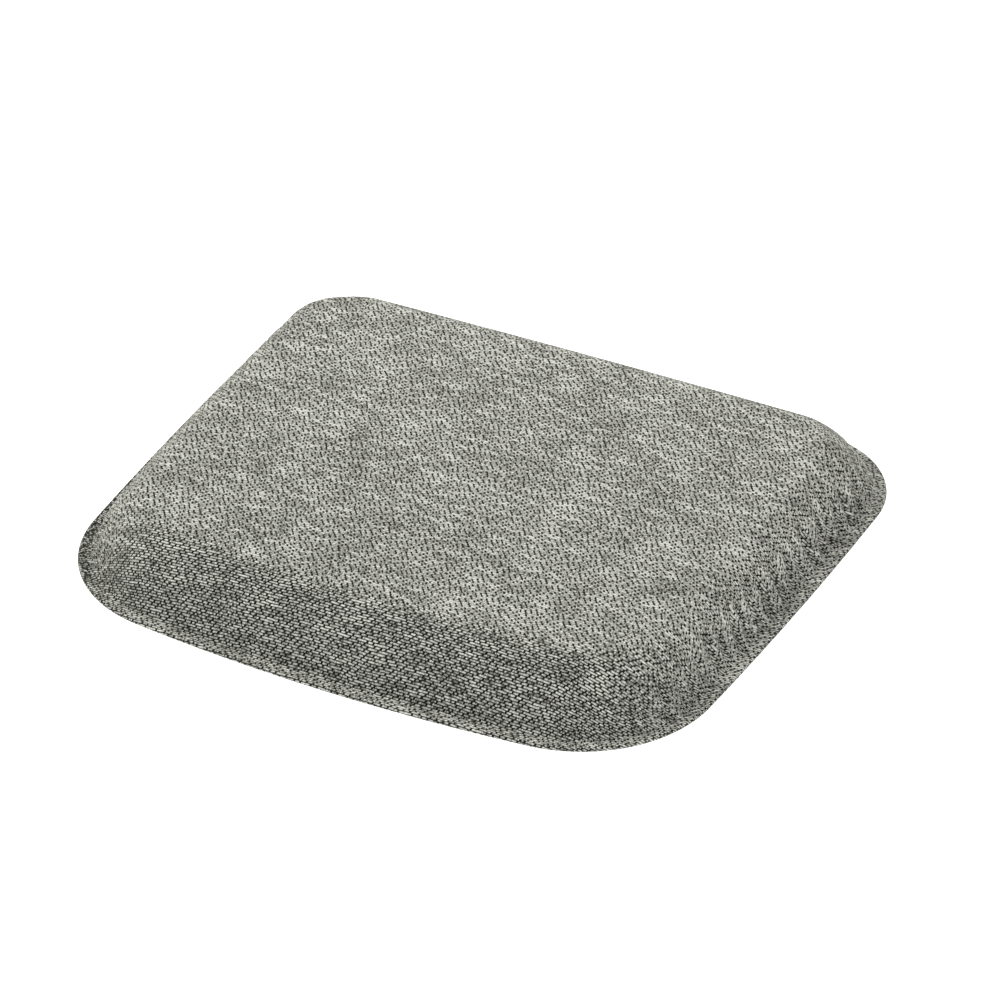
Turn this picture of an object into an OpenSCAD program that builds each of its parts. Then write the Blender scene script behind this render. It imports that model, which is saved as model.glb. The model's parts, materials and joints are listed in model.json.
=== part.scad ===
// Kneeling pad: a moulded foam pad under a woven cover, with a thin flat rim all round.
// The origin is on the resting plane, under the middle of the pad.
// +X is the pad's width, -Y its bowed front edge, +Z up. All sizes are in millimetres.

/* [Outline] */
// Straight line between the two front corners, before they are rounded
front_w = 416; // [396:1:430]
// Straight line between the two back corners, before they are rounded
back_w = 444; // [420:1:456]
// Distance from front corners to back corners, along Y
corner_d = 371; // [350:1:390]
// How far the front edge bows out of its straight line
front_bow = 18; // [12:0.5:24]
// How far the back edge bows out of its straight line
back_bow = 3; // [2:0.5:8]
// How far each side edge bows out of its straight line
side_bow = 5; // [3:0.5:9]
// Radius of the two front corners
front_corner_r = 90; // [80:1:100]
// Radius of the two back corners
back_corner_r = 69; // [65:1:85]

/* [Dome] */
// Height of the shoulder, where the slopes end
shoulder_h = 41.5; // [34:0.5:46]
// Height of the middle above the shoulder
crown_h = 1.5; // [0.5:0.5:4]
// Width of the flat rim
rim_w = 10.5; // [7:0.5:14]
// Width of the slope along the front, seen from above
front_slope_w = 45; // [36:1:50]
// Width of the slope along each side, seen from above
side_slope_w = 29; // [20:1:36]
// Width of the slope along the back, seen from above
back_slope_w = 38; // [28:1:44]
// How much wider the slope gets in the middle of each corner
corner_slope_w = 3; // [0:0.5:5]
// How soon a slope levels out at the shoulder
shoulder_power = 1.85; // [1.5:0.05:2.4]
// How steeply a slope starts from the rim
foot_power = 1.25; // [1:0.05:1.8]

/* [Layers] */
// Thickness of the woven cover
cover_t = 0.8; // [0.6:0.1:1]
// Thickness of the soft lining under the cover
lining_t = 1.5; // [1:0.1:2.5]
// Thickness of the anti-slip base panel
panel_t = 0.4; // [0.3:0.1:0.6]
// Thickness of the stiff felt sheet that the foam is bonded to
sheet_t = 0.8; // [0.6:0.1:1.2]
// Room left between the domes of two layers
layer_gap = 0.1; // [0.05:0.05:0.2]

/* [Hem and underside] */
// Width of the cover that is turned under the edge
hem_w = 22; // [18:1:26]
// Distance from the hem's raw edge to its line of stitches
stitch_margin = 6; // [5:0.5:8]
// Distance from one hem stitch to the next
stitch_pitch = 5; // [4:0.5:7]
// Length of one stitch
stitch_len = 3.4; // [2.5:0.1:3.6]
// Thickness of the sewing thread
thread_t = 0.4; // [0.3:0.05:0.45]
// Width of the overlock thread that closes the hem's raw edge
overlock_w = 0.6; // [0.4:0.1:1]
// Distance between the grip dots in one row
dot_pitch = 20; // [18:1:26]
// Radius of a grip dot
dot_r = 2.2; // [1.5:0.1:3]
// Bare strip between the hem and the outermost dots
dot_margin = 7; // [5:1:12]

/* [Care label] */
// Width of the blank care label
label_w = 34; // [26:1:40]
// Depth of the blank care label
label_d = 20; // [16:1:26]
// Thickness of the label
label_t = 0.25; // [0.2:0.05:0.3]
// Distance from the back edge of the pad to the label's middle
label_back = 46; // [42:1:60]

/* [Hidden] */

// Heights of the stack, from the resting plane up: hem, base panel, base sheet, cover.
panel_z = cover_t;
sheet_z = panel_z + panel_t;
rim_z = sheet_z + sheet_t;
rim_top = rim_z + cover_t;
fold_r = rim_top / 2;

// Number of straight steps along each kind of arc, and of rings on a slope and on the crown.
edge_steps = 14;
side_steps = 9;
corner_steps = 10;
slope_rings = 10;
crown_rings = 3;

stitch_inset = hem_w - stitch_margin;
label_seam = 2;
label_stitch_pitch = 4;
label_stitch_len = 2.8;
groove_w = thread_t + 0.5;
groove_h = thread_t + 0.05;
panel_inset = cover_t + 1;
sheet_inset = cover_t + 0.1;

// ---------------------------------------------------------------------------------------
// Outline: eight arcs that run into each other, one for each edge and each corner.
// An arc is [centre x, centre y, radius, first angle, last angle, steps].

// Radius of the circle through two points a chord apart that rises sag over the chord.
function bow_radius(chord, sag) = (chord * chord / 4 + sag * sag) / (2 * sag);

depth = corner_d + front_bow + back_bow;
label_y = depth / 2 - label_back;
front_y = -depth / 2 + front_bow;
back_y = depth / 2 - back_bow;
front_r = bow_radius(front_w, front_bow);
back_r = bow_radius(back_w, back_bow);
front_c = [0, -depth / 2 + front_r];
back_c = [0, depth / 2 - back_r];

side_run = [(back_w - front_w) / 2, corner_d];
side_chord = norm(side_run);
side_r = bow_radius(side_chord, side_bow);
side_out = [side_run[1], -side_run[0]] / side_chord;
side_c = [(front_w + back_w) / 4, (front_y + back_y) / 2] - side_out * (side_r - side_bow);

// Centre of a corner of radius r that touches the inside of two larger circles.
// lift is 1 or -1 and picks one of the two answers.
function corner_centre(r, c1, r1, c2, r2, lift) =
    let (gap = norm(c2 - c1),
         u = (c2 - c1) / gap,
         along = (gap * gap + (r1 - r) * (r1 - r) - (r2 - r) * (r2 - r)) / (2 * gap),
         across = sqrt((r1 - r) * (r1 - r) - along * along))
    c1 + u * along + [-u[1], u[0]] * across * lift;

function heading(from, to) = atan2(to[1] - from[1], to[0] - from[0]);

front_corner_c = corner_centre(front_corner_r, front_c, front_r, side_c, side_r, 1);
back_corner_c = corner_centre(back_corner_r, back_c, back_r, side_c, side_r, -1);
a_front = heading(front_c, front_corner_c);
a_side_1 = heading(side_c, front_corner_c);
a_side_2 = heading(side_c, back_corner_c);
a_back = heading(back_c, back_corner_c);

function arc(c, r, first, last, steps) = [c[0], c[1], r, first, last, steps];
function mirrored(a) = [-a[0], a[1], a[2], 180 - a[4], 180 - a[3], a[5]];

front_corner = arc(front_corner_c, front_corner_r, a_front, a_side_1, corner_steps);
right_side = arc(side_c, side_r, a_side_1, a_side_2, side_steps);
back_corner = arc(back_corner_c, back_corner_r, a_side_2, a_back, corner_steps);
ARCS = [arc(front_c, front_r, -180 - a_front, a_front, edge_steps),
        front_corner, right_side, back_corner,
        arc(back_c, back_r, a_back, 180 - a_back, edge_steps),
        mirrored(back_corner), mirrored(right_side), mirrored(front_corner)];

// A station is a place on the outline: [centre x, centre y, radius, angle].
STATIONS = [for (a = ARCS) for (k = [0 : a[5] - 1])
            [a[0], a[1], a[2], a[3] + (a[4] - a[3]) * k / a[5]]];

// The point that lies inset mm inside the outline at a station.
function inside(s, inset) =
    [s[0] + (s[2] - inset) * cos(s[3]), s[1] + (s[2] - inset) * sin(s[3])];

// Stations that divide each arc evenly, about pitch apart at that inset.
function even_stations(inset, pitch) =
    [for (a = ARCS)
     let (n = round((a[2] - inset) * (a[4] - a[3]) * PI / 180 / pitch))
     for (k = [0 : n - 1]) [a[0], a[1], a[2], a[3] + (a[4] - a[3]) * (k + 0.5) / n]];

// True where a point is further than inset from every arc of the outline.
function is_within(p, inset) =
    let (misses = [for (a = ARCS)
        let (v = [p[0] - a[0], p[1] - a[1]],
             turn = atan2(v[1], v[0]) - a[3],
             turned = turn - 360 * floor(turn / 360))
        if (turned <= a[4] - a[3] && norm(v) > a[2] - inset) a])
    len(misses) == 0;

// ---------------------------------------------------------------------------------------
// Dome: each slope rises from the rim to the shoulder, then the crown closes over the middle.
// Every layer is the same dome, moved in by a few tenths and that much lower.

// Width of the slope at a station, blended round the corners.
function slope_w(s) =
    let (across = sin(s[3]), along = cos(s[3]))
    side_slope_w * along * along
        + (across < 0 ? front_slope_w : back_slope_w) * across * across
        + corner_slope_w * pow(2 * across * along, 2);

// Height of the slope from 0 to 1, at t from 0 at its foot to 1 at the shoulder.
function rise(t) = pow(1 - pow(1 - t, shoulder_power), 1 / foot_power);

function ring_at(inset, z) = [for (s = STATIONS) concat(inside(s, inset), z)];

function slope_ring(t, inward, low, high) =
    [for (s = STATIONS)
     concat(inside(s, rim_w + inward + slope_w(s) * t), low + (high - low) * rise(t))];

// Rings of one dome from the middle outwards; inward is its distance under the outer face.
function dome_rings(inward, low) =
    let (high = shoulder_h - inward,
         shoulder = slope_ring(1, inward, low, high))
    concat(
        [for (k = [1 : crown_rings - 1])
         let (share = k / crown_rings)
         [for (p = shoulder) [p[0] * share, p[1] * share, high + crown_h * (1 - share * share)]]],
        [for (k = [0 : slope_rings])
         slope_ring(pow(1 - k / slope_rings, 1.5), inward, low, high)]);

function crown_top(inward) = [0, 0, shoulder_h + crown_h - inward];

function reversed(list) = [for (k = [len(list) - 1 : -1 : 0]) list[k]];

// Closed skin through a list of rings, with a single point at each end.
module skin(start, rings, end) {
    n = len(STATIONS);
    last = len(rings) * n + 1;
    points = concat([start], [for (r = rings) each r], [end]);
    faces = concat(
        [for (k = [0 : n - 1]) [0, 1 + (k + 1) % n, 1 + k]],
        [for (r = [0 : len(rings) - 2]) for (k = [0 : n - 1]) each
         let (a = 1 + r * n + k, b = 1 + r * n + (k + 1) % n)
         [[a, b, b + n], [a, b + n, a + n]]],
        [for (k = [0 : n - 1]) [last, last - n + k, last - n + (k + 1) % n]]);
    polyhedron(points, faces);
}

module flat_layer(inset, z, thickness) {
    translate([0, 0, z]) linear_extrude(thickness)
        polygon([for (s = STATIONS) inside(s, inset)]);
}

// ---------------------------------------------------------------------------------------
// Sub-parts

// One piece of woven fabric: over the dome, flat across the rim, round the edge and under.
// A shallow groove in the hem takes the stitches, which are pulled into the fabric.
module top_cover() {
    fold = [for (turn = [45 : -45 : -45])
            ring_at(fold_r * (1 - cos(turn)), fold_r * (1 + sin(turn)))];
    hem_face = [ring_at(fold_r, 0),
                ring_at(stitch_inset - groove_w / 2, 0),
                ring_at(stitch_inset - groove_w / 2, groove_h),
                ring_at(stitch_inset + groove_w / 2, groove_h),
                ring_at(stitch_inset + groove_w / 2, 0),
                ring_at(hem_w, 0)];
    inner_face = [ring_at(hem_w, cover_t), ring_at(cover_t, cover_t), ring_at(cover_t, rim_z)];
    color([0.56, 0.56, 0.52])
        skin(crown_top(0),
             concat(dome_rings(0, rim_top), [ring_at(fold_r, rim_top)], fold, hem_face,
                    inner_face, reversed(dome_rings(cover_t, rim_z))),
             crown_top(cover_t));
}

// Thin soft wadding that keeps the foam's surface off the weave.
module cover_lining() {
    outer = cover_t + layer_gap;
    color([0.93, 0.93, 0.9])
        skin(crown_top(outer),
             concat(dome_rings(outer, rim_z), reversed(dome_rings(outer + lining_t, rim_z))),
             crown_top(outer + lining_t));
}

module foam_core() {
    inward = cover_t + lining_t + 2 * layer_gap;
    color([0.9, 0.85, 0.68])
        skin(crown_top(inward), dome_rings(inward, rim_z), [0, 0, rim_z]);
}

// Felt sheet that carries the foam and keeps the rim flat.
module base_sheet() {
    color([0.32, 0.32, 0.31]) flat_layer(sheet_inset, sheet_z, sheet_t);
}

// Anti-slip textile, with its margin caught under the hem.
module base_panel() {
    color([0.16, 0.16, 0.16]) flat_layer(panel_inset, panel_z, panel_t);
}

module grip_dots() {
    clear_inset = hem_w + dot_margin + dot_r;
    row_pitch = dot_pitch * sin(60);
    rows = floor(depth / 2 / row_pitch);
    columns = floor(back_w / 2 / dot_pitch);
    label_clear = [label_w / 2 + dot_r + label_seam, label_d / 2 + dot_r + label_seam];
    color([0.1, 0.1, 0.1])
        for (row = [-rows : rows], column = [-columns : columns]) {
            p = [(column + (row % 2 == 0 ? 0 : 0.5)) * dot_pitch, row * row_pitch];
            off_label = abs(p[0]) > label_clear[0] || abs(p[1] - label_y) > label_clear[1];
            if (off_label && is_within(p, clear_inset))
                translate(p) cylinder(h = panel_z, r = dot_r, $fn = 24);
        }
}

// Line of stitches that joins the hem to the base panel and the felt sheet above it.
module hem_stitches() {
    color([0.45, 0.45, 0.42])
        for (s = even_stations(stitch_inset, stitch_pitch))
            translate(inside(s, stitch_inset)) rotate(s[3] + 90)
                translate([0, 0, thread_t / 2])
                    cube([stitch_len, thread_t, thread_t], center = true);
}

// Overlock thread that stops the hem's raw edge from fraying.
module hem_overlock() {
    color([0.4, 0.4, 0.38]) difference() {
        flat_layer(hem_w, 0, cover_t);
        translate([0, 0, -1]) flat_layer(hem_w + overlock_w, 0, cover_t + 2);
    }
}

module care_label() {
    color("white") translate([0, label_y, panel_z - label_t / 2])
        cube([label_w, label_d, label_t], center = true);
}

// A short row of stitches along each of the label's two ends.
module label_stitches() {
    ends = label_w / 2 - label_seam;
    count = floor((label_d - label_seam) / label_stitch_pitch);
    color([0.8, 0.8, 0.78])
        for (side = [-1, 1], k = [0 : count - 1])
            translate([side * ends,
                       label_y + (k - (count - 1) / 2) * label_stitch_pitch,
                       panel_z - label_t - thread_t / 4])
                cube([thread_t, label_stitch_len, thread_t / 2], center = true);
}

top_cover();
cover_lining();
foam_core();
base_sheet();
base_panel();
grip_dots();
hem_stitches();
hem_overlock();
care_label();
label_stitches();
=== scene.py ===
"""Looks of a kneeling pad: a moulded-foam pad under one piece of woven melange cloth.

The cloth lies over the dome, runs flat across a thin rim, folds round its edge and is
stitched underneath. Every shape is built from the same outline and slope as the CAD part.
"""

import json
import math

import bpy
import numpy as np
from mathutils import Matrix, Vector

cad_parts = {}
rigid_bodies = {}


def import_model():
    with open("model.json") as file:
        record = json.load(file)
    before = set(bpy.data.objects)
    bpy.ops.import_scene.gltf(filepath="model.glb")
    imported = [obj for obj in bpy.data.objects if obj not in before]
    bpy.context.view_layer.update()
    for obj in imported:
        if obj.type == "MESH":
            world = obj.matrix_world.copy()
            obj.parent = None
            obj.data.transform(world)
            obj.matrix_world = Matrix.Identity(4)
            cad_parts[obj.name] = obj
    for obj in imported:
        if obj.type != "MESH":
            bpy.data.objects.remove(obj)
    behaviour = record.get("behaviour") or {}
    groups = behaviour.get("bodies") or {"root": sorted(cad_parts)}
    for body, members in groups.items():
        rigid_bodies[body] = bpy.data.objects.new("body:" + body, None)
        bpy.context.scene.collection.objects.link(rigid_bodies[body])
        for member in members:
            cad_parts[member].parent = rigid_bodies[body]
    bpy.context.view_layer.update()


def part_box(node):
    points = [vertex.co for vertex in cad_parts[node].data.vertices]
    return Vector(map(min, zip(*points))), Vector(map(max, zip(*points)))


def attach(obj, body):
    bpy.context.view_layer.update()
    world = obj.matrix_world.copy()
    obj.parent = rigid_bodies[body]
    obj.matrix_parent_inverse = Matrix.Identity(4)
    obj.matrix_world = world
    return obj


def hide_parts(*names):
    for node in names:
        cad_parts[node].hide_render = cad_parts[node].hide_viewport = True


for left_over in list(bpy.data.objects):
    bpy.data.objects.remove(left_over)
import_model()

# ----------------------------------------------------------------------------------------
# Driving sizes, in metres, as in the CAD part

FRONT_W, BACK_W, CORNER_D = 0.416, 0.444, 0.371
FRONT_BOW, BACK_BOW, SIDE_BOW = 0.018, 0.003, 0.005
FRONT_CORNER_R, BACK_CORNER_R = 0.090, 0.069
RIM_W = 0.0105
FRONT_SLOPE_W, SIDE_SLOPE_W, BACK_SLOPE_W = 0.045, 0.029, 0.038
CORNER_SLOPE_W = 0.003
SHOULDER_POWER, FOOT_POWER = 1.85, 1.25
COVER_T, LINING_T, LAYER_GAP = 0.0008, 0.0015, 0.0001
HEM_W = 0.022
STITCH_INSET, GROOVE_W, GROOVE_H = 0.016, 0.0010, 0.00045
STITCH_PITCH, STITCH_LEN, THREAD_T = 0.005, 0.0034, 0.0004
LABEL_STITCH_PITCH, LABEL_STITCH_LEN, LABEL_SEAM = 0.004, 0.0028, 0.002
OVERLOCK_PITCH, OVERLOCK_STEPS, OVERLOCK_R = 0.0013, 10, 0.00012
DOT_PITCH, DOT_R, DOT_MARGIN = 0.020, 0.0022, 0.007
PANEL_DROOP, DROOP_REACH = 0.0002, 0.15
SEED = 7

COVER_LOW, COVER_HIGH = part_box("top_cover")
RIM_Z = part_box("base_sheet")[1].z
RIM_TOP = RIM_Z + COVER_T
CROWN_H = 0.0015
SHOULDER_H = COVER_HIGH.z - CROWN_H
DEPTH = COVER_HIGH.y - COVER_LOW.y
PANEL_Z, SHEET_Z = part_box("base_panel")[0].z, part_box("base_sheet")[0].z
PANEL_INSET = COVER_HIGH.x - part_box("base_panel")[1].x
SHEET_INSET = COVER_HIGH.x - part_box("base_sheet")[1].x

# ----------------------------------------------------------------------------------------
# Outline: eight arcs that run into each other. An arc is (centre, radius, first, last angle)


def bow_radius(chord, sag):
    """Radius of the circle through two points a chord apart that rises sag over it."""
    return (chord * chord / 4 + sag * sag) / (2 * sag)


def corner_centre(r, c1, r1, c2, r2, lift):
    """Centre of a corner of radius r that touches the inside of two larger circles."""
    gap = np.linalg.norm(c2 - c1)
    u = (c2 - c1) / gap
    along = (gap**2 + (r1 - r) ** 2 - (r2 - r) ** 2) / (2 * gap)
    across = math.sqrt((r1 - r) ** 2 - along**2)
    return c1 + u * along + np.array([-u[1], u[0]]) * across * lift


def heading(start, end):
    return math.atan2(end[1] - start[1], end[0] - start[0])


def outline_arcs():
    front_y, back_y = FRONT_BOW - DEPTH / 2, DEPTH / 2 - BACK_BOW
    front_r, back_r = bow_radius(FRONT_W, FRONT_BOW), bow_radius(BACK_W, BACK_BOW)
    front_c = np.array([0, front_r - DEPTH / 2])
    back_c = np.array([0, DEPTH / 2 - back_r])
    run = np.array([(BACK_W - FRONT_W) / 2, CORNER_D])
    chord = np.linalg.norm(run)
    side_r = bow_radius(chord, SIDE_BOW)
    out = np.array([run[1], -run[0]]) / chord
    middle = np.array([(FRONT_W + BACK_W) / 4, (front_y + back_y) / 2])
    side_c = middle - out * (side_r - SIDE_BOW)
    front_corner = corner_centre(FRONT_CORNER_R, front_c, front_r, side_c, side_r, 1)
    back_corner = corner_centre(BACK_CORNER_R, back_c, back_r, side_c, side_r, -1)
    a_front, a_side = heading(front_c, front_corner), heading(side_c, front_corner)
    a_back, b_side = heading(back_c, back_corner), heading(side_c, back_corner)
    right = [
        (front_corner, FRONT_CORNER_R, a_front, a_side),
        (side_c, side_r, a_side, b_side),
        (back_corner, BACK_CORNER_R, b_side, a_back),
    ]
    left = [
        (c * [-1, 1], r, math.pi - last, math.pi - first)
        for c, r, first, last in reversed(right)
    ]
    front = (front_c, front_r, -math.pi - a_front, a_front)
    back = (back_c, back_r, a_back, math.pi - a_back)
    return [front, *right, back, *left]


class Outline:
    """Places evenly spaced inside each arc of the pad's edge, about spacing apart when
    measured at an inset from the edge."""

    def __init__(self, spacing, inset=0.0, shift=0.0):
        centres, radii, angles = [], [], []
        for c, r, first, last in outline_arcs():
            steps = round((r - inset) * (last - first) / spacing)
            for k in range(steps):
                centres.append(c)
                radii.append(r)
                angles.append(first + (last - first) * (k + shift) / steps)
        self.centre = np.array(centres)
        self.radius = np.array(radii)
        angles = np.array(angles)
        self.normal = np.stack([np.cos(angles), np.sin(angles)], -1)
        across, along = self.normal[:, 1], self.normal[:, 0]
        ends = np.where(across < 0, FRONT_SLOPE_W, BACK_SLOPE_W)
        corner = (2 * along * across) ** 2
        self.slope_w = SIDE_SLOPE_W * along**2 + ends * across**2 + CORNER_SLOPE_W * corner
        self.count = len(angles)

    def inside(self, inset):
        """The points that lie inset inside the edge; inset is a number or one for each."""
        return self.centre + self.normal * (self.radius - inset)[:, None]


def rise(t):
    """Height of the slope from 0 to 1, at t from 0 at its foot to 1 at the shoulder."""
    return (1 - (1 - t) ** SHOULDER_POWER) ** (1 / FOOT_POWER)


# ----------------------------------------------------------------------------------------
# Mesh helpers


def add_mesh(name, verts, faces, rounded=True):
    mesh = bpy.data.meshes.new(name)
    mesh.from_pydata([tuple(v) for v in verts], [], faces)
    mesh.validate()
    mesh.polygons.foreach_set("use_smooth", [rounded] * len(mesh.polygons))
    mesh.update()
    piece = bpy.data.objects.new(name, mesh)
    bpy.context.scene.collection.objects.link(piece)
    return piece


def ring_faces(rings, count):
    """Quads between rings, and a fan at the first and at the last point."""
    k = np.arange(count)
    after = (k + 1) % count
    last = 1 + rings * count
    faces = [(0, 1 + a, 1 + b) for a, b in zip(k, after)]
    for r in range(rings - 1):
        low, high = 1 + r * count, 1 + (r + 1) * count
        faces += [(low + a, high + a, high + b, low + b) for a, b in zip(k, after)]
    top = last - count
    faces += [(last, top + b, top + a) for a, b in zip(k, after)]
    return [tuple(int(i) for i in f) for f in faces]


def finish_piece(piece, material, slot, *nodes):
    piece.data.materials.clear()
    piece.data.materials.append(material)
    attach(piece, "root")
    if nodes:
        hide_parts(*nodes)
    return piece


# ----------------------------------------------------------------------------------------
# Skin of the dome: rings from the middle outwards


def slope_shares(count):
    """Shares of a slope's width from the shoulder out to its foot, closer at the foot."""
    return (1 - np.linspace(0, 1, count + 1)) ** 1.5


def grid_normals(grid):
    """Unit normals of a grid of rings by stations, pointing out of the pad."""
    around = np.roll(grid, -1, 1) - np.roll(grid, 1, 1)
    normals = np.cross(np.gradient(grid, axis=0), around)
    return normals / np.linalg.norm(normals, axis=2, keepdims=True)


def rings_under(grid, normals, inward, past_foot):
    """Every few rings, moved in, down to the plane of the rim, which the last ring meets.
    past_foot is how many rings of the rim they take in."""
    picked = [*range(0, CROWN_RINGS - 1, 6), *range(CROWN_RINGS - 1, FOOT_RING + 1, 2),
              *range(FOOT_RING + 1, FOOT_RING + past_foot + 1)]
    under = grid[picked] - normals[picked] * inward
    under[:, :, 2] = np.maximum(under[:, :, 2], RIM_Z)
    under[-1, :, 2] = RIM_Z
    return list(under)


def layer_skin(name, grid, normals, inward, inner=None):
    """A closed layer of the dome: solid, or hollow where inner is its inside's depth."""
    rings, bottom = rings_under(grid, normals, inward, 3 if inner else 1), (0, 0, RIM_Z)
    if inner is not None:
        rings += rings_under(grid, normals, inner, 1)[::-1]
        bottom = (0, 0, COVER_HIGH.z - inner)
    verts = np.concatenate([[(0, 0, COVER_HIGH.z - inward)], *rings, [bottom]])
    return add_mesh(name, verts, ring_faces(len(rings), grid.shape[1]))


# ----------------------------------------------------------------------------------------
# The cover: one cloth from the crown, over the slope, rim and fold, to the hem's raw edge.
# Its "cloth" attribute says where each point lies on the flat cloth, in millimetres, and
# how open the weave is pulled there, with painted shade and painted light in the same value:
# it is higher on the slopes, in the gather valleys, on the side rims and on the fold, which
# darkens them. It runs from 0 to 1, and past SLITS_FROM the cloth parts in slits.

SPACING = 0.0016
CROWN_RINGS, SLOPE_RINGS, RIM_RINGS = 34, 52, 9
FOOT_RING = CROWN_RINGS - 1 + SLOPE_RINGS
FOOT_SOFTNESS, FOOT_REACH = 0.0042, 0.009
GATHER_PITCH = (0.0105, 0.018)
GATHER_DEPTH = 0.0018
GATHER_REACH = (0.028, 0.052)
GATHER_WIDTH = 0.0034
STREAK_LEN = 0.024
SHEAR, SHEAR_REACH, RIM_SHEAR = 0.75, 0.024, 0.25
SPARE_CLOTH, SETTLE_FRAMES, SETTLE_CAP = 0.07, 20, 0.0020
SETTLE_FOAM_DEPTH, SETTLE_FOAM_REACH, SETTLE_CLOTH_REACH = 0.0022, 0.0005, 0.0006
FOLD_WINDOW, FOLD_SCALE = 6, 0.0022
# The cap on how open and shaded the cover may be, and what is added on the left rim, painted shade
# under the dome, and on the right rim, which is made darker.
OPEN_AND_SHADE_MOST, LEFT_RIM_PAINTED_SHADE, RIGHT_RIM_DARKENING = 1.4, 0.75, 0.35
SLITS_FROM, SLITS_FULL = 1.40, 1.48


def smooth(x, low, high):
    t = np.clip((x - low) / (high - low), 0, 1)
    return t * t * (3 - 2 * t)


def face_height(outline, inset):
    """Height of the cover's outer face at an inset from the edge, with a softened foot."""
    soft = FOOT_SOFTNESS * np.exp(-(((inset - RIM_W) / FOOT_REACH) ** 2))
    height, weights = 0, 0
    for share in np.linspace(-1, 1, 9):
        t = np.clip((inset + soft * share - RIM_W) / outline.slope_w, 0, 1)
        weight = math.cos(share * 1.3)
        height = height + weight * rise(t)
        weights += weight
    return RIM_TOP + (SHOULDER_H - RIM_TOP) * height / weights


def gathers(outline, up, random):
    """How deep each point lies in the gathers: up is each ring's distance above the foot,
    and the answer runs from below 0, on a puff, to 1, at the bottom of a valley."""
    edge = outline.inside(0)
    steps = np.linalg.norm(np.roll(edge, -1, 0) - edge, axis=1)
    along = np.concatenate([[0], np.cumsum(steps)[:-1]])
    total = steps.sum()
    sides = outline.normal[:, 0] ** 2
    front = smooth(-outline.normal[:, 1], 0.2, 0.9)
    weight = np.clip(0.12 + 0.95 * smooth(sides, 0.15, 0.9) + 0.10 * front, 0, 1)
    lean_way = np.sign(outline.normal[:, 0])
    depth = np.zeros(up.shape)
    place = random.uniform(0, GATHER_PITCH[0])
    while place < total - GATHER_PITCH[0] / 2:
        strength = random.uniform(0.5, 1.0)
        reach = random.uniform(*GATHER_REACH)
        lean = random.uniform(-0.35, 0.10)
        k = int(np.searchsorted(along, place)) % outline.count
        off = along - place - lean * lean_way[k] * -np.clip(up, 0, None)
        off = (off + total / 2) % total - total / 2
        width = GATHER_WIDTH * (1 + np.clip(up, 0, None) / 0.05)
        fade = (1 - smooth(up, 0.25 * reach, reach)) * smooth(up, -0.008, 0.001)
        depth = np.maximum(depth, strength * fade * np.exp(-np.abs(off / width) ** 1.8))
        place += random.uniform(*GATHER_PITCH)
    return (depth - 0.45 * (1 - smooth(up, 0.015, 0.045)) * smooth(up, -0.006, 0.002)) * weight


def streaks(outline, up, random):
    """Fine streaks down the side slopes, from about -1 to 1, where the weave opens."""
    levels = []
    for _ in range(3):
        knots = random.uniform(-1, 1, outline.count * 2 // 3)
        places = np.linspace(0, outline.count, len(knots) + 1)
        levels.append(np.interp(np.arange(outline.count), places, np.append(knots, knots[0])))
    share = np.clip(up / STREAK_LEN, 0, 1.999)
    low = share.astype(int)
    part = share - low
    across = np.arange(outline.count)[None, :]
    levels = np.array(levels)
    return levels[low, across] * (1 - part) + levels[low + 1, across] * part


def cover_tail():
    """(inset, height) of the cover's rings past the rim: the fold and the hem, then the raw
    edge and the inner face up to the foot."""
    fold = RIM_TOP / 2
    turn = np.radians(np.linspace(90, -90, 11)[1:])
    edge = [(fold * (1 - math.cos(a)), fold * (1 + math.sin(a))) for a in turn]
    before = [(inset, 0.0) for inset in np.linspace(fold, STITCH_INSET - GROOVE_W, 9)[1:]]
    groove = [(STITCH_INSET + GROOVE_W * x, GROOVE_H * math.cos(math.pi * x))
              for x in np.linspace(-0.5, 0.5, 7)]
    after = [(inset, 0.0) for inset in np.linspace(STITCH_INSET + GROOVE_W, HEM_W - 0.0002, 5)]
    hem = before + groove + after
    raw_edge = [(HEM_W, 0.0002), (HEM_W, COVER_T - 0.0002), (HEM_W - 0.0002, COVER_T)]
    back = [(COVER_T + 0.0003, COVER_T), (COVER_T, COVER_T + 0.0003), (COVER_T, RIM_Z)]
    return edge + hem + raw_edge + back


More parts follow.
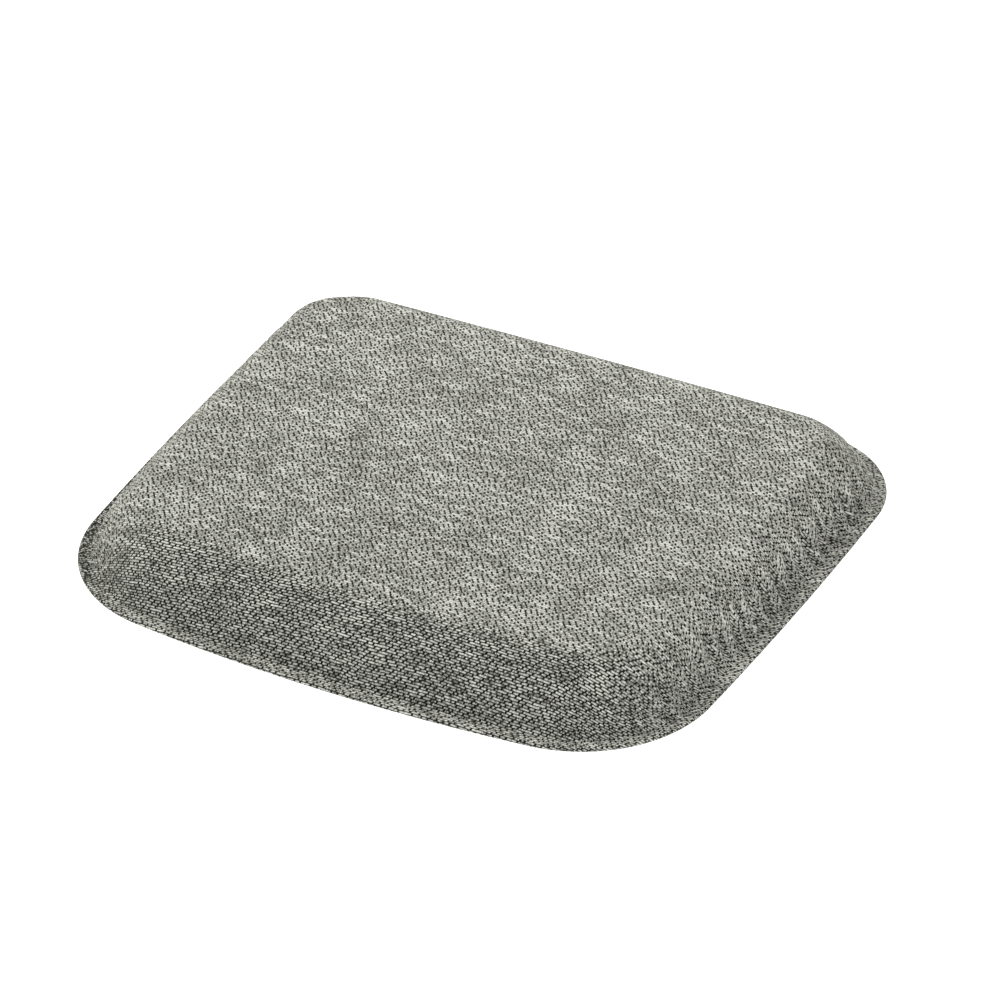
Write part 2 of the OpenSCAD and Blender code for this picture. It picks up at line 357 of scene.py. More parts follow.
def simulate_cloth(points, held, taut, foam_grid):
    """Settles a grid of cloth over the foam: held is how firmly each point is pinned, and
    taut is 1 where no cloth is spare. Returns how far each point moves out."""
    rings, count = points.shape[:2]
    k = np.arange(count)
    after = (k + 1) % count
    faces = [(r * count + a, (r + 1) * count + a, (r + 1) * count + b, r * count + b)
             for r in range(rings - 1) for a, b in zip(k, after)]
    cloth = add_mesh("settling", points.reshape(-1, 3), [tuple(map(int, f)) for f in faces])
    for name, weights in (("held", held), ("taut", taut)):
        group = cloth.vertex_groups.new(name=name)
        for i, weight in enumerate(weights.ravel()):
            group.add([i], float(weight), "REPLACE")
    foam = layer_skin("settling_foam", foam_grid, grid_normals(foam_grid), SETTLE_FOAM_DEPTH)
    foam.modifiers.new("collision", "COLLISION")
    foam.collision.thickness_outer = SETTLE_FOAM_REACH
    modifier = cloth.modifiers.new("cloth", "CLOTH")
    how = modifier.settings
    how.quality, how.mass, how.bending_stiffness, how.shear_stiffness = 8, 0.3, 0.3, 5
    how.vertex_group_mass, how.pin_stiffness = "held", 50
    how.vertex_group_shrink, how.shrink_min, how.shrink_max = "taut", -SPARE_CLOTH, 0
    how.effector_weights.gravity = 0
    modifier.collision_settings.distance_min = SETTLE_CLOTH_REACH
    modifier.collision_settings.use_self_collision = False
    modifier.point_cache.frame_end = SETTLE_FRAMES
    for step in range(1, SETTLE_FRAMES + 1):
        bpy.context.scene.frame_set(step)
    settled = cloth.evaluated_get(bpy.context.evaluated_depsgraph_get()).to_mesh()
    places = np.empty(rings * count * 3)
    settled.vertices.foreach_get("co", places)
    out = ((places.reshape(points.shape) - points) * grid_normals(points)).sum(2)
    for used in (cloth, foam):
        bpy.data.objects.remove(used)
    bpy.context.scene.frame_set(1)
    return out


class Face:
    """The cover's outer face from the middle to the fold, as a grid of rings by stations."""

    def __init__(self):
        outline = self.outline = Outline(SPACING)
        n = outline.count
        shoulder = outline.inside(RIM_W + outline.slope_w)
        crown = []
        for share in np.linspace(0, 1, CROWN_RINGS + 1)[1:-1]:
            z = SHOULDER_H + CROWN_H * (1 - share**2)
            crown.append(np.column_stack([shoulder * share, np.full(n, z)]))
        insets = [RIM_W + outline.slope_w * t for t in slope_shares(SLOPE_RINGS)]
        rim = np.linspace(RIM_W, RIM_TOP / 2, RIM_RINGS + 1)[1:]
        insets = np.array(insets + [np.full(n, inset) for inset in rim])
        heights = np.array([face_height(outline, inset) for inset in insets])

        # Distance down the slope from the shoulder, and up from the foot.
        steps = np.hypot(np.diff(insets, axis=0), np.diff(heights, axis=0))
        self.run = np.concatenate([np.zeros((1, n)), np.cumsum(steps, axis=0)])
        self.foot_run = self.run[SLOPE_RINGS]
        random = np.random.default_rng(SEED)
        self.depth = gathers(outline, self.foot_run - self.run, random)
        self.streaks = streaks(outline, self.foot_run - self.run, random)

        below = [np.column_stack([outline.inside(i), z]) for i, z in zip(insets, heights)]
        self.shoulder = shoulder
        self.crown = len(crown)
        self.grid = np.array(crown + below)
        self.move_out(-GATHER_DEPTH * self.depth)

    def move_out(self, distance):
        """Moves the slope and rim out by a distance for each of their points."""
        part = self.grid[self.crown:]
        part += grid_normals(self.grid)[self.crown:] * distance[:, :, None]
        part[:, :, 2] = np.maximum(part[:, :, 2], RIM_Z + COVER_T / 2)

    def settle(self):
        """Gives the sides spare cloth and lets it settle over the foam by cloth simulation.
        What is kept is how far each fold stands out from the slope or sinks into it."""
        picked = np.array([*range(0, SLOPE_RINGS + 1, 3), SLOPE_RINGS + 2, SLOPE_RINGS + 4])
        columns = np.arange(0, self.outline.count, 2)
        points = self.grid[self.crown + picked][:, columns]
        up = (self.foot_run - self.run)[picked][:, columns]
        sides = smooth(self.outline.normal[columns, 0] ** 2, 0.15, 0.8)
        held = np.maximum(smooth(up, 0.028, 0.044), 1 - smooth(up, -0.002, 0.001))
        spare = (1 - smooth(up, 0.012, 0.038)) * (0.10 + 0.90 * sides)
        out = simulate_cloth(points, held, 1 - spare, self.grid[:, ::4])

        # Take away the swell that folds ride on, so the pad keeps its outline.
        window = np.hanning(2 * FOLD_WINDOW + 1)
        around = np.concatenate([out[:, -FOLD_WINDOW:], out, out[:, :FOLD_WINDOW]], axis=1)
        swell = [np.convolve(row, window / window.sum(), "valid") for row in around]
        folds = np.clip(out - swell, -SETTLE_CAP, SETTLE_CAP)

        stations = np.arange(self.outline.count)
        rows = [np.interp(stations, columns, row, period=self.outline.count) for row in folds]
        every = np.arange(len(self.run))
        fine = np.array([np.interp(every, picked, column) for column in np.array(rows).T]).T
        self.move_out(fine)
        self.depth = self.depth * GATHER_DEPTH / FOLD_SCALE - fine / FOLD_SCALE

    def flat_cloth(self, tail):
        """Where each ring lies on the flat cloth: unrolled outwards, and pulled towards the
            back on the lower part of the side slopes."""
        cloth = [ring[:, :2] for ring in self.grid[:self.crown]]
        runs, tail_run = list(self.run), self.run[-1]
        for before, after in zip([self.grid[-1], *tail], tail):
            tail_run = tail_run + np.linalg.norm(after - before, axis=1)
            runs.append(tail_run)
        side_pull = self.outline.normal[:, 0] ** 2
        for run in runs:
            low = np.clip(run - self.foot_run + SHEAR_REACH, 0, SHEAR_REACH)
            pull = SHEAR * low**2 / (2 * SHEAR_REACH)
            pull += RIM_SHEAR * np.clip(run - self.foot_run, 0, None)
            flat = self.shoulder + self.outline.normal * run[:, None]
            flat[:, 1] -= side_pull * pull
            cloth.append(flat)
        return cloth

    def open_and_shade_levels(self):
        """How open the weave is on each ring, with painted shade and painted light in the same
        value.
        """
        normal = self.outline.normal
        sides = smooth(normal[:, 0] ** 2, 0.3, 0.9)
        left = smooth(-normal[:, 0], 0.2, 0.9)
        left_corner = smooth(-normal[:, 0], 0.1, 0.7)
        # Painted light: the flat rim is kept lighter than the slopes, less so at the sides and not
        # at all on the left.
        rim_painted_light = 0.60 - 0.30 * sides - 0.3 * left
        open_and_shade_rings = [np.zeros(self.outline.count)] * self.crown
        for run, depth, streak in zip(self.run, self.depth, self.streaks):
            on_rim = smooth(run - self.foot_run, 0.0015, 0.005)
            # Higher from the shoulder down: the weave shows more of its gaps, and this is also
            # painted shade on the slopes.
            slope = smooth(run, 0.001, 0.018) - rim_painted_light * on_rim
            left_rim = left * on_rim
            right_rim = sides * on_rim * (1 - left)
            # Painted light: the side slopes are kept lighter than the front slope, in streaks.
            slope = slope * (1 - sides * (0.30 + 0.45 * streak) * (1 - left_rim))
            # Painted light: the left slope is kept lighter still, above the rim.
            slope = slope * (1 - 0.8 * left * (1 - on_rim))
            # Painted shade in the gather valleys and painted light on their puffs.
            slope = np.clip(slope + 1.4 * depth, 0, OPEN_AND_SHADE_MOST)
            # Painted shade on the left rim, under the dome; the right rim is made darker too.
            rim_extra = LEFT_RIM_PAINTED_SHADE * left_corner * on_rim + RIGHT_RIM_DARKENING * right_rim
            open_and_shade_rings.append(slope + rim_extra)
        return open_and_shade_rings


def build_cover(face, normals):
    n = face.outline.count
    tail = [np.column_stack([face.outline.inside(inset), np.full(n, z)])
            for inset, z in cover_tail()]
    inside = rings_under(face.grid, normals, COVER_T, RIM_RINGS)[::-1]
    rings = list(face.grid) + tail + inside
    verts = np.concatenate([[(0, 0, COVER_HIGH.z)], *rings, [(0, 0, COVER_HIGH.z - COVER_T)]])
    piece = add_mesh("cover", verts, ring_faces(len(rings), n))

    cloth = face.flat_cloth(tail) + [ring[:, :2] for ring in inside]
    # The fold, hem and inside take the full value: painted shade that darkens the fold's face.
    open_and_shade_rings = face.open_and_shade_levels() + [np.ones(n)] * (len(tail) + len(inside))
    flat = np.concatenate([[(0, 0)], *cloth, [(0, 0)]]) * 1000
    open_and_shade = np.concatenate([[0], *open_and_shade_rings, [0]])
    attribute = piece.data.attributes.new("cloth", "FLOAT_VECTOR", "POINT")
    attribute.data.foreach_set("vector", np.column_stack([flat, open_and_shade]).ravel())
    return piece


# ----------------------------------------------------------------------------------------
# Flat pieces of the underside


def panel_droop(points):
    """How far the slack base panel hangs below its plane."""
    x, y = points[:, 0], points[:, 1]
    wave = np.sin(31 * x + 9 * np.sin(17 * y)) + np.sin(27 * y + 7 * np.sin(21 * x) + 1)
    return PANEL_DROOP * (wave + 2) / 4


def flat_sheet(name, inset, low, high, droop=None):
    """A thin sheet with rounded edges that fills the outline from an inset inwards."""
    outline = Outline(0.005)
    soft = (high - low) / 2
    shares = np.linspace(0, 1, 36)[1:]
    inner = [outline.inside(inset + soft) * share for share in shares]
    edge = [(inset + soft * (1 - math.cos(a)), (low + high) / 2 + soft * math.sin(a))
            for a in np.radians([60, 30, 0, -30, -60])]
    rings = [np.column_stack([p, np.full(len(p), high)]) for p in inner]
    rings += [np.column_stack([outline.inside(i), np.full(outline.count, z)]) for i, z in edge]
    rings += [np.column_stack([p, np.full(len(p), low)]) for p in inner[::-1]]
    verts = np.concatenate([[(0, 0, high)], *rings, [(0, 0, low)]])
    if droop is not None:
        off_edge = np.clip(np.linalg.norm(verts[:, :2], axis=1), 0, DROOP_REACH) / DROOP_REACH
        verts[:, 2] -= droop(verts) * (1 - off_edge**4)
    return add_mesh(name, verts, ring_faces(len(rings), outline.count))


def thread_tube(path, radius, sides=8, plies=2, twist=1.2, squash=1.0):
    """A closed twisted tube along a path of points that all face down: returns its points
    and faces. radius is a number or one for each point."""
    path = np.array(path)
    along = np.gradient(path, axis=0)
    along /= np.linalg.norm(along, axis=1)[:, None]
    across = np.cross(along, (0, 0, 1.0))
    across /= np.maximum(np.linalg.norm(across, axis=1), 1e-9)[:, None]
    over = np.cross(across, along)
    radius = np.broadcast_to(radius, len(path))
    rings = []
    for k, (p, a, o, r) in enumerate(zip(path, across, over, radius)):
        turn = np.arange(sides) * 2 * math.pi / sides
        r = r * (0.86 + 0.14 * np.cos(plies * (turn - twist * k)))
        rings.append(p + a * (r * np.cos(turn))[:, None] + o * (squash * r * np.sin(turn))[:, None])
    verts = np.concatenate([[path[0] - along[0] * radius[0] * 0.4], *rings,
                            [path[-1] + along[-1] * radius[-1] * 0.4]])
    return verts, ring_faces(len(rings), sides)


def join_parts(name, parts):
    verts, faces, start = [], [], 0
    for part_verts, part_faces in parts:
        verts.append(part_verts)
        faces += [tuple(i + start for i in face) for face in part_faces]
        start += len(part_verts)
    return add_mesh(name, np.concatenate(verts), faces)


def stitch(middle, direction, length, thread, low, random, squash=1.0):
    """One stitch: a short thread whose ends dive up into the cloth over it."""
    share = np.linspace(-1, 1, 11)
    wander = random.uniform(-1, 1) * 0.00008
    side = np.array([-direction[1], direction[0]])
    flat = middle + np.outer(share * length / 2, direction) + np.outer(wander * share, side)
    up = low + squash * thread / 2 + 0.6 * thread * squash * np.abs(share) ** 3
    thin = thread / 2 * (1 - 0.35 * np.abs(share) ** 6)
    return thread_tube(np.column_stack([flat, up]), thin, twist=random.uniform(1.1, 1.3),
                       squash=squash)


def build_hem_stitches():
    random = np.random.default_rng(SEED + 1)
    places = Outline(STITCH_PITCH, STITCH_INSET, 0.5)
    parts = []
    for middle, normal in zip(places.inside(STITCH_INSET), places.normal):
        direction = np.array([-normal[1], normal[0]])
        parts.append(stitch(middle, direction, STITCH_LEN, THREAD_T, COVER_LOW.z, random))
    return join_parts("hem_thread", parts)


def build_label_stitches():
    random = np.random.default_rng(SEED + 2)
    low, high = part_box("label_stitches")
    count = round((high.y - low.y + LABEL_STITCH_PITCH - LABEL_STITCH_LEN) / LABEL_STITCH_PITCH)
    parts = []
    for x in (low.x + THREAD_T / 2, high.x - THREAD_T / 2):
        for k in range(count):
            middle = np.array([x, low.y + LABEL_STITCH_LEN / 2 + k * LABEL_STITCH_PITCH])
            parts.append(stitch(middle, np.array([0.0, 1.0]), LABEL_STITCH_LEN, THREAD_T,
                                low.z, random, squash=0.5))
    return join_parts("label_thread", parts)


def build_overlock():
    """A thread that loops along the hem's raw edge, as one long coil that closes on itself."""
    random = np.random.default_rng(SEED + 3)
    places = Outline(OVERLOCK_PITCH / OVERLOCK_STEPS, HEM_W)
    turn = np.arange(places.count) * 2 * math.pi / OVERLOCK_STEPS
    uneven = 1 + 0.12 * np.interp(np.arange(places.count), np.arange(0, places.count, 5),
                                  random.uniform(-1, 1, len(range(0, places.count, 5))))
    low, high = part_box("hem_overlock")
    middle_z, reach_z = (low.z + high.z) / 2, (high.z - low.z) / 2 - OVERLOCK_R
    inset = HEM_W + OVERLOCK_R + 0.00018 + 0.00016 * np.cos(turn) * uneven
    path = np.column_stack([places.inside(inset), middle_z + reach_z * np.sin(turn)])
    along = np.roll(path, -1, 0) - np.roll(path, 1, 0)
    along /= np.linalg.norm(along, axis=1)[:, None]
    out = np.column_stack([places.normal, np.zeros(places.count)])
    across = np.cross(along, out)
    across /= np.linalg.norm(across, axis=1)[:, None]
    over = np.cross(across, along)
    sides = 6
    verts = []
    for a in np.arange(sides) * 2 * math.pi / sides:
        verts.append(path + OVERLOCK_R * (across * math.cos(a) + over * math.sin(a)))
    verts = np.stack(verts, 1).reshape(-1, 3)
    faces = []
    for k in range(places.count):
        here, there = k * sides, (k + 1) % places.count * sides
        faces += [(here + a, there + a, there + (a + 1) % sides, here + (a + 1) % sides)
                  for a in range(sides)]
    return add_mesh("overlock_thread", verts, faces)


def is_within(place, inset):
    """True where a place is further than an inset inside every arc of the outline."""
    for centre, radius, first, last in outline_arcs():
        way = place - centre
        turned = (math.atan2(way[1], way[0]) - first) % (2 * math.pi)
        if turned <= last - first and np.linalg.norm(way) > radius - inset:
            return False
    return True


def dot_places():
    row_pitch = DOT_PITCH * math.sin(math.radians(60))
    rows, columns = int(DEPTH / 2 / row_pitch), int(BACK_W / 2 / DOT_PITCH)
    low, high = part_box("care_label")
    middle = (low + high) / 2
    clear = ((high.x - low.x) / 2 + DOT_R + LABEL_SEAM, (high.y - low.y) / 2 + DOT_R + LABEL_SEAM)
    for row in range(-rows, rows + 1):
        for column in range(-columns, columns + 1):
            place = np.array([(column + 0.5 * (row % 2)) * DOT_PITCH, row * row_pitch])
            off_label = abs(place[0]) > clear[0] or abs(place[1] - middle.y) > clear[1]
            if off_label and is_within(place, HEM_W + DOT_MARGIN + DOT_R):
                yield place


def build_dots():
    """Printed dots: low domes with a soft edge, each a little different."""
    random = np.random.default_rng(SEED + 4)
    sides = 24
    turn = np.arange(sides) * 2 * math.pi / sides
    profile = [(0.96, 1.0), (1.0, 0.86), (0.98, 0.66), (0.90, 0.42), (0.74, 0.20), (0.50, 0.07),
               (0.25, 0.01)]
    height = PANEL_Z - COVER_LOW.z
    parts = []
    for place in dot_places():
        wobble = 1 + 0.02 * np.cos(turn * 2 + random.uniform(0, 6)) - 0.02
        rings = []
        for r, z in profile:
            flat = place + (DOT_R * r * wobble)[:, None] * np.column_stack(
                [np.cos(turn), np.sin(turn)])
            rings.append(np.column_stack([flat, np.full(sides, COVER_LOW.z + height * z)]))
        verts = np.concatenate([[(*place, PANEL_Z)], *rings, [(*place, COVER_LOW.z)]])
        parts.append((verts, ring_faces(len(rings), sides)))
    return join_parts("rubber_dots", parts)


def build_label():
    """A ribbon with softly curled corners."""
    low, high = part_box("care_label")
    columns, rows = 35, 21
    x, y = np.meshgrid(np.linspace(low.x, high.x, columns), np.linspace(low.y, high.y, rows))
    u, v = np.meshgrid(np.linspace(-1, 1, columns), np.linspace(-1, 1, rows))
    curl = 0.00022 * (np.abs(u * v) ** 3) + 0.00008 * (1 + np.sin(5 * u + 2 * v)) * v**4
    upper = np.stack([x, y, high.z - curl], -1).reshape(-1, 3)
    lower = np.stack([x, y, low.z - curl], -1).reshape(-1, 3)
    n = columns * rows
    faces = []
    for r in range(rows - 1):
        for c in range(columns - 1):
            a = r * columns + c
            quad = (a, a + 1, a + 1 + columns, a + columns)
            faces += [quad, tuple(i + n for i in quad[::-1])]
    rim = list(range(columns))
    rim += [r * columns + columns - 1 for r in range(1, rows)]
    rim += [(rows - 1) * columns + c for c in range(columns - 2, -1, -1)]
    rim += [r * columns for r in range(rows - 2, 0, -1)]
    faces += [(b, a, a + n, b + n) for a, b in zip(rim, rim[1:] + rim[:1])]
    return add_mesh("ribbon_label", np.concatenate([upper, lower]), faces)


# ----------------------------------------------------------------------------------------
# Materials


class Shader:
    """Short names for building a material's nodes. Values are numbers or sockets."""

    def __init__(self, name):
        self.material = bpy.data.materials.new(name)
        self.material.use_nodes = True
        self.tree = self.material.node_tree
        self.surface = self.tree.nodes["Principled BSDF"]

    def node(self, kind, inputs=(), **settings):
        made = self.tree.nodes.new("ShaderNode" + kind)
        for key, value in settings.items():
            setattr(made, key, value)
        for key, value in dict(inputs).items():
            self.put(made.inputs[key], value)
        return made

    def put(self, socket, value):
        if isinstance(value, bpy.types.NodeSocket):
            self.tree.links.new(value, socket)
        else:
            socket.default_value = value

    def math(self, operation, *values):
        return self.node("Math", enumerate(values), operation=operation).outputs[0]

    def ease(self, value, low, high):
        """0 up to low, 1 from high, and a smooth step between."""
        made = self.node("MapRange", {"Value": value, "From Min": low, "From Max": high},
                         interpolation_type="SMOOTHSTEP")
        return made.outputs["Result"]

    def between(self, share, first, last):
        made = self.node("Mix", {"Factor": share, "A": first, "B": last}, data_type="FLOAT")
        return made.outputs["Result"]

    def colour(self, share, first, last, blend="MIX"):
        made = self.node("Mix", {}, data_type="RGBA", blend_type=blend)
        for index, value in zip((0, 6, 7), (share, first, last)):
            self.put(made.inputs[index], value)
        return made.outputs[2]

    def point(self, x, y, z=0.0):
        return self.node("CombineXYZ", {"X": x, "Y": y, "Z": z}).outputs[0]

    def noise(self, where, scale=1.0, detail=2.0, roughness=0.5):
        inputs = {"Vector": where, "Scale": scale, "Detail": detail, "Roughness": roughness}
        return self.node("TexNoise", inputs).outputs["Fac"]

    def dice(self, x, y, z=0.0):
        """A random number from 0 to 1 for each whole x, y, z."""
        made = self.node("TexWhiteNoise", {"Vector": self.point(x, y, z)},
                         noise_dimensions="3D")
        return made.outputs["Value"]

    def bump(self, height, distance, strength=1.0):
        inputs = {"Height": height, "Distance": distance, "Strength": strength}
        self.put(self.surface.inputs["Normal"], self.node("Bump", inputs).outputs[0])


WARP_PITCH, ROW_PITCH = 1.43, 1.705
THREAD_PITCH = 0.9
WARP_LEAN = 0.55, -0.3
THREADING = "CDBCDCADBACDBCABDA"
TREADLING = "ABCDABDABCADCBAC"


def shaft(s, place, draft):
    """The shaft, from 0 to 1, that a draft gives to a whole-numbered place along it."""
    ramp = s.node("ValToRGB")
    ramp.color_ramp.interpolation = "CONSTANT"
    stops = ramp.color_ramp.elements
    stops.remove(stops[1])
    for k, letter in enumerate(draft):
        stop = stops[0] if k == 0 else stops.new(k / len(draft))
        shade = "ABCD".index(letter) / 3
        stop.color = (shade, shade, shade, 1)
    turn = s.math("FLOORED_MODULO", place, len(draft))
    s.put(ramp.inputs[0], s.math("DIVIDE", s.math("ADD", turn, 0.5), len(draft)))
    return ramp.outputs[0]


def woven_cloth():
    """Crepe weave on four shafts: light melange weft along X over a near-black warp, which
    shows wherever the row and the warp thread are on the same shaft."""
    s = Shader("woven_cloth")
    cloth = s.node("Attribute", attribute_name="cloth").outputs["Vector"]
    split = s.node("SeparateXYZ", {"Vector": cloth}).outputs
    # The third value: how open the weave is, with painted shade and painted light in it; it widens
    # the gaps and darkens the grooves.
    open_and_shade = split["Z"]
    drift = s.noise(cloth, 0.02)
    wobble = s.math("SUBTRACT", s.noise(cloth, 0.11, 3.0), 0.5)
    u = s.math("MULTIPLY_ADD", drift, 5.0, s.math("MULTIPLY_ADD", wobble, 1.2, split["X"]))
    v = s.math("MULTIPLY_ADD", drift, 4.0, s.math("MULTIPLY_ADD", wobble, 1.0, split["Y"]))

    # Warp threads lean a little across each row, so the gaps join along one diagonal.
    v_cells = s.math("DIVIDE", v, ROW_PITCH)
    row, in_row = s.math("FLOOR", v_cells), s.math("FRACT", v_cells)
    lean = s.between(s.ease(open_and_shade, 0.0, 0.6), *WARP_LEAN)
    u_cells = s.math("MULTIPLY_ADD", in_row, lean, s.math("DIVIDE", u, WARP_PITCH))
    column = s.math("FLOOR", u_cells)
    threading, treadling = shaft(s, column, THREADING), shaft(s, row, TREADLING)
    same = s.math("COMPARE", threading, treadling, 0.1)
    off_warp = s.math("ABSOLUTE", s.math("SUBTRACT", s.math("FRACT", u_cells), 0.5))
    off_row = s.math("ABSOLUTE", s.math("SUBTRACT", in_row, 0.5))

    # A dark gap is a rounded cell where the warp shows; between the rows runs a groove of painted
    # shade, wider and darker where the third value is higher.
    dice = s.dice(column, row)
    half_gap = s.math("MULTIPLY_ADD", dice, 0.14, s.between(open_and_shade, 0.47, 0.61))
    reach = s.math("ADD", s.math("POWER", s.math("DIVIDE", off_warp, half_gap), 2.4),
                   s.math("POWER", s.math("DIVIDE", off_row, 0.62), 3.0))
    gap = s.math("MULTIPLY", same, s.math("SUBTRACT", 1.0, s.ease(reach, 0.55, 1.6)))
    gap = s.math("MULTIPLY", gap, s.math("MULTIPLY_ADD", s.dice(column, row, 5.0), 0.15, 0.90))
    groove = s.ease(off_row, s.between(open_and_shade, 0.36, 0.21), s.between(open_and_shade, 0.52, 0.42))

    yarn = s.noise(s.point(s.math("MULTIPLY", u, 0.40), s.math("MULTIPLY", row, 7.37)), 1.0, 2.0)
    fleck = s.noise(s.point(u, s.math("MULTIPLY", v, 1.3), 9.0), 1.3, 2.0, 0.8)
    slub = s.ease(s.noise(s.point(s.math("MULTIPLY", u, 0.045), s.math("MULTIPLY", v, 0.20),
                                  4.0), 1.0, 2.0), 0.42, 0.74)
    patch = s.noise(cloth, 0.02, 2.0)
    fibre = s.noise(s.point(s.math("MULTIPLY", u, 0.7), s.math("MULTIPLY", v, 6.0), 3.0), 1.0, 3.0)
    speck = s.noise(s.point(s.math("MULTIPLY", u, 0.85), s.math("MULTIPLY", row, 5.31), 6.0),
                    1.0, 1.0)
    tone = s.math("MULTIPLY_ADD", yarn, 0.5, s.math("MULTIPLY", fleck, 1.5))
    tone = s.math("MULTIPLY_ADD", slub, 0.34, tone)
    tone = s.math("MULTIPLY_ADD", patch, 0.4, tone)
    tone = s.math("MULTIPLY_ADD", s.math("SUBTRACT", speck, 0.33), 1.5, tone)
    tone = s.math("MULTIPLY_ADD", s.math("SUBTRACT", fibre, 0.5), 0.5, tone)
    light = s.colour(s.ease(tone, 0.97, 2.03), (0.045, 0.046, 0.036, 1), (0.79, 0.795, 0.725, 1))
    # Painted shade in the grooves between the rows.
    shade = s.colour(open_and_shade, (0.26, 0.26, 0.24, 1), (0.02, 0.02, 0.016, 1))
    rows = s.colour(groove, light, s.colour(1.0, light, shade, "MULTIPLY"))

    # Where the value is highest, on the side rims and most on the left, two or three rows part in
    # short dark slits, which are partly painted shade.
    slit = s.noise(s.point(s.math("MULTIPLY", u, 0.30), s.math("MULTIPLY", v, 0.36), 8.0),
                   1.0, 1.0)
    slit = s.math("MULTIPLY", s.ease(slit, 0.51, 0.58), s.ease(open_and_shade, SLITS_FROM, SLITS_FULL))
    gap = s.math("MAXIMUM", gap, s.math("MULTIPLY", slit, 0.92))
    dark = s.colour(s.noise(s.point(u, v), 1.1), (0.003, 0.003, 0.001, 1),
                    (0.011, 0.0113, 0.006, 1))
    s.put(s.surface.inputs["Base Color"], s.colour(gap, rows, dark))

    dome = s.math("MULTIPLY_ADD", s.math("MULTIPLY", off_row, off_row), -4.0, 1.0)
    height = s.math("MULTIPLY", s.math("MULTIPLY_ADD", dome, 0.8, 0.2),
                    s.math("SUBTRACT", 1.0, gap))
    height = s.math("MULTIPLY_ADD", fibre, 0.35, height)
    s.bump(height, 0.0007, 1.0)
    s.surface.inputs["Roughness"].default_value = 0.85
    s.surface.inputs["Specular IOR Level"].default_value = 0.12
    s.surface.inputs["Sheen Weight"].default_value = 0.20
    s.surface.inputs["Sheen Roughness"].default_value = 0.3
    s.surface.inputs["Sheen Tint"].default_value = (1.0, 0.97, 0.80, 1)
    return s.material


def finish_surface(s, colour, roughness, specular=0.3):
    s.put(s.surface.inputs["Base Color"], colour)
    s.surface.inputs["Specular IOR Level"].default_value = specular
    s.put(s.surface.inputs["Roughness"], roughness)
    return s.material


def millimetres(s):
    """Object coordinates in millimetres, whole and split."""
    place = s.node("TexCoord").outputs["Object"]
    scaled = s.node("VectorMath", {0: place, 3: 1000.0}, operation="SCALE").outputs[0]
    return scaled, s.node("SeparateXYZ", {"Vector": scaled}).outputs


def wadding():
    s = Shader("white_wadding")
    place, _ = millimetres(s)
    fibres = s.noise(place, 1.2, 6.0, 0.75)
    cloud = s.noise(place, 0.05, 2.0)
    tone = s.math("MULTIPLY_ADD", fibres, 0.6, s.math("MULTIPLY", cloud, 0.5))
    s.bump(fibres, 0.0004, 0.8)
    s.surface.inputs["Sheen Weight"].default_value = 0.3
    colour = s.colour(s.ease(tone, 0.3, 0.8), (0.70, 0.70, 0.66, 1), (0.92, 0.92, 0.89, 1))
    return finish_surface(s, colour, s.between(fibres, 0.85, 1.0))


def open_foam():
    s = Shader("moulded_foam")
    place, _ = millimetres(s)
    cells = s.node("TexVoronoi", {"Vector": place, "Scale": 1.6}, feature="SMOOTH_F1")
    cell = s.ease(cells.outputs["Distance"], 0.1, 0.7)
    skin = s.noise(place, 0.03, 3.0)
    s.bump(cell, 0.0003, 0.7)
    light = s.colour(skin, (0.80, 0.70, 0.45, 1), (0.88, 0.81, 0.60, 1))
    # Darker in each cell's pore: painted shade in the foam's hollows.
    colour = s.colour(cell, (0.55, 0.46, 0.27, 1), light)
    return finish_surface(s, colour, s.between(cell, 0.95, 0.8))


def needled_felt():
    s = Shader("needled_felt")
    place, split = millimetres(s)
    long_fibres = s.noise(s.point(s.math("MULTIPLY", split["X"], 0.3), split["Y"],
                                  split["Z"]), 1.5, 5.0, 0.7)
    fluff = s.noise(place, 2.2, 4.0, 0.8)
    tone = s.math("MULTIPLY_ADD", fluff, 0.5, s.math("MULTIPLY", long_fibres, 0.5))
    s.bump(tone, 0.0003, 0.8)
    s.surface.inputs["Sheen Weight"].default_value = 0.2
    colour = s.colour(s.ease(tone, 0.35, 0.65), (0.05, 0.05, 0.05, 1), (0.16, 0.16, 0.155, 1))
    return finish_surface(s, colour, s.between(fluff, 0.9, 1.0))


def base_textile():
    """Plain weave, 0.9 mm a thread, with a little dust and rubbing."""
    s = Shader("base_textile")
    place, split = millimetres(s)
    wobble = s.math("MULTIPLY", s.noise(place, 0.15, 3.0), 0.8)
    waves = [s.math("SINE", s.math("MULTIPLY", s.math("ADD", split[axis], wobble),
                                   math.pi / THREAD_PITCH)) for axis in "XY"]
    crossing = s.math("MULTIPLY", *waves)
    over = s.ease(crossing, -0.25, 0.25)
    ridge = s.between(over, s.math("ABSOLUTE", waves[0]), s.math("ABSOLUTE", waves[1]))
    fleck = s.noise(place, 1.6, 3.0, 0.7)
    dust = s.ease(s.noise(place, 0.03, 4.0, 0.6), 0.5, 0.8)
    s.bump(s.math("MULTIPLY_ADD", fleck, 0.3, ridge), 0.0002, 0.9)
    # The yarn is darker between the threads and lighter on their crests, times a fleck tone:
    # painted shade and painted light on the weave.
    yarn = s.colour(s.math("MULTIPLY", ridge, fleck), (0.012, 0.012, 0.012, 1),
                    (0.20, 0.20, 0.203, 1))
    colour = s.colour(s.math("MULTIPLY", dust, 0.35), yarn, (0.14, 0.137, 0.126, 1))
    return finish_surface(s, colour, s.between(fleck, 0.7, 0.95))


